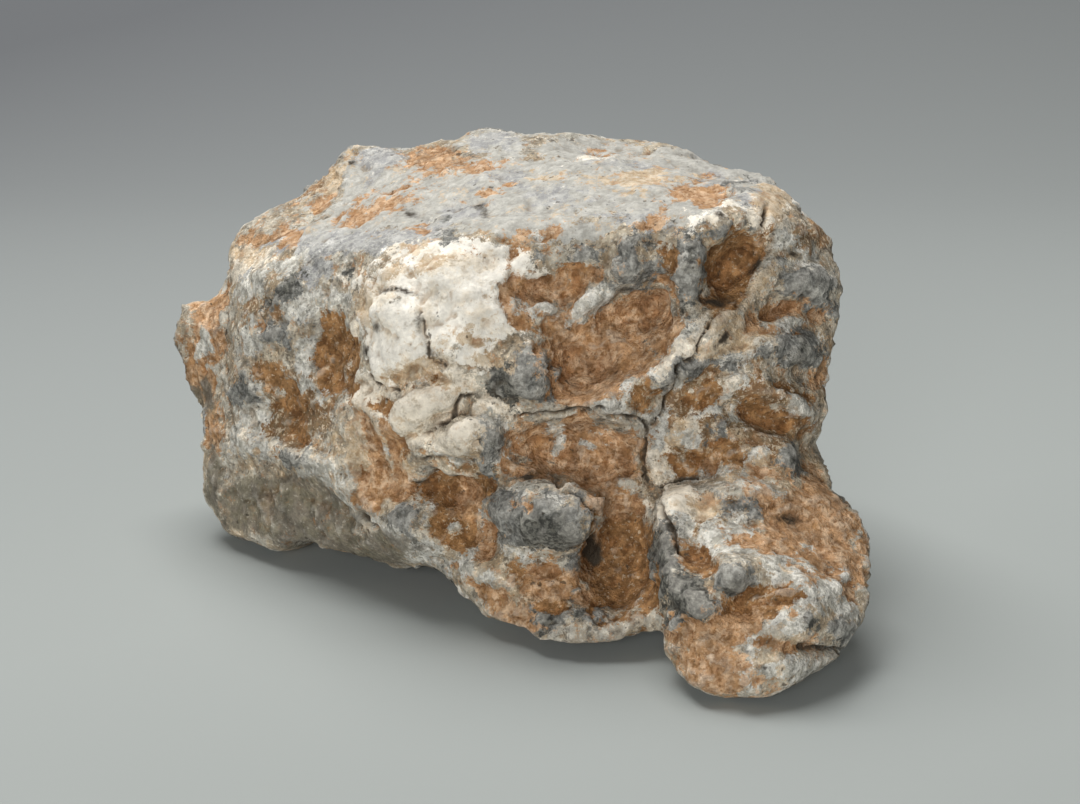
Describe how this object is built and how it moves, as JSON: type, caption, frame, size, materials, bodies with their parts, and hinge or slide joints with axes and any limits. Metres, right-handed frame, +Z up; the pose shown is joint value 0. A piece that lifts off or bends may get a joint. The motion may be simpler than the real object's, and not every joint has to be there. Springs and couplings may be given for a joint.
{
  "type": "lunar meteorite",
  "caption": "Rough broken breccia stone with a flat sloping top, a hollowed face and a knobbly foot, resting on small flat spots.",
  "frame": {"origin": "middle of the stone's bounding box, at the height of the surface that it rests on", "axes": "+X along the stone's length, towards the foot's side; +Y from the hollowed face to the back; +Z up as it rests"},
  "size_m": [0.0344, 0.0308, 0.0207],
  "materials": {
    "weathered_breccia": "matt, rough, mottled white, grey, terracotta and ochre"
  },
  "bodies": {
    "root": {"meteorite": "weathered_breccia"}
  },
  "joints": []
}
